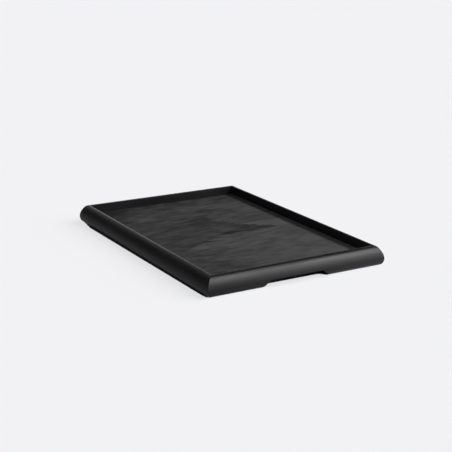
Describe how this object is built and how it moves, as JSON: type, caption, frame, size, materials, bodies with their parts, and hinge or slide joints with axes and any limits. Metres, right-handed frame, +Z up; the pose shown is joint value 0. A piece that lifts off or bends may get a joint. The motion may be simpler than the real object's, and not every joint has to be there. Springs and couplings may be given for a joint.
{
  "type": "serving tray",
  "caption": "Low rectangular serving tray: mitred rails with a rounded outer face around a flat veneered panel, with a finger recess under each end.",
  "frame": {"origin": "middle of the footprint, on the surface that the tray stands on", "axes": "+X along the tray towards one end rail, +Y across it, +Z up"},
  "size_m": [0.47, 0.33, 0.032],
  "materials": {
    "rail_wood": "black-stained teak, satin lacquer",
    "panel_wood": "black-stained teak veneer, open grain",
    "core_wood": "raw birch plywood",
    "tenon_wood": "raw beech"
  },
  "bodies": {
    "root": {"end_rail_front": "rail_wood", "end_rail_back": "rail_wood", "side_rail_left": "rail_wood", "side_rail_right": "rail_wood", "face_veneer": "panel_wood", "backing_veneer": "panel_wood", "panel_core": "core_wood", "tenon_front_right": "tenon_wood", "tenon_back_right": "tenon_wood", "tenon_back_left": "tenon_wood", "tenon_front_left": "tenon_wood"}
  },
  "joints": []
}
